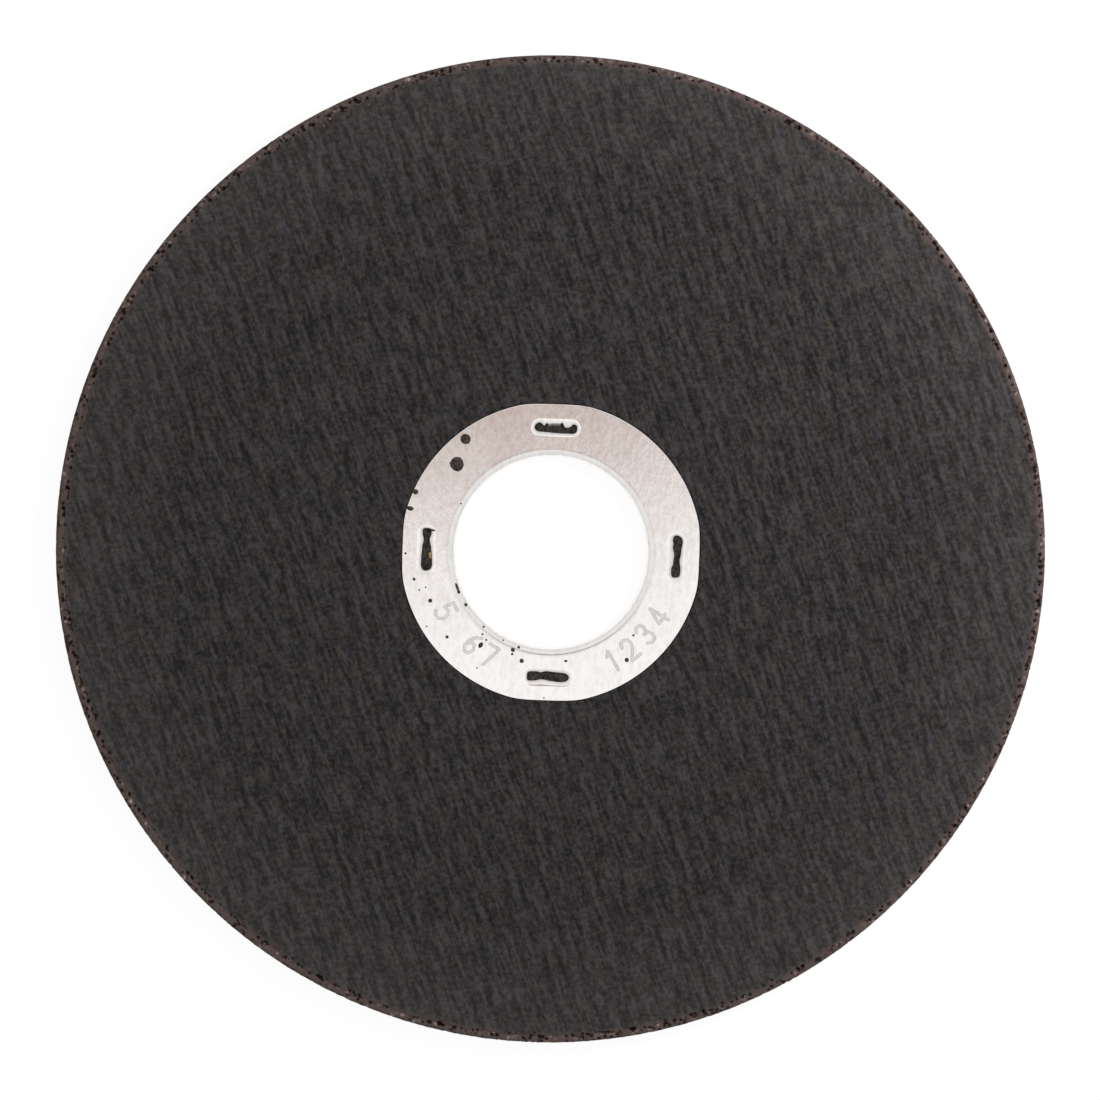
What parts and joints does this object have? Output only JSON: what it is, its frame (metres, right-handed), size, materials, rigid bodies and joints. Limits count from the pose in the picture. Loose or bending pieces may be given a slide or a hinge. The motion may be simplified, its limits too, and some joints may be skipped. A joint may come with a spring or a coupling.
{
  "type": "cut-off wheel",
  "caption": "Flat round abrasive cut-off wheel with bare grain at its rim and a clawed sheet-steel hub ring that lines the arbor bore.",
  "frame": {"origin": "centre of the bore on the wheel's lower face", "axes": "+Z along the bore axis, out of the face that shows the hub ring's flange; +X and +Y through the middle of two claws"},
  "size_m": [0.115, 0.115, 0.0026],
  "materials": {
    "bonded_abrasive": "rough",
    "tinned_steel": "satin"
  },
  "bodies": {
    "root": {"abrasive_disc": "bonded_abrasive", "hub_ring": "tinned_steel"}
  },
  "joints": []
}
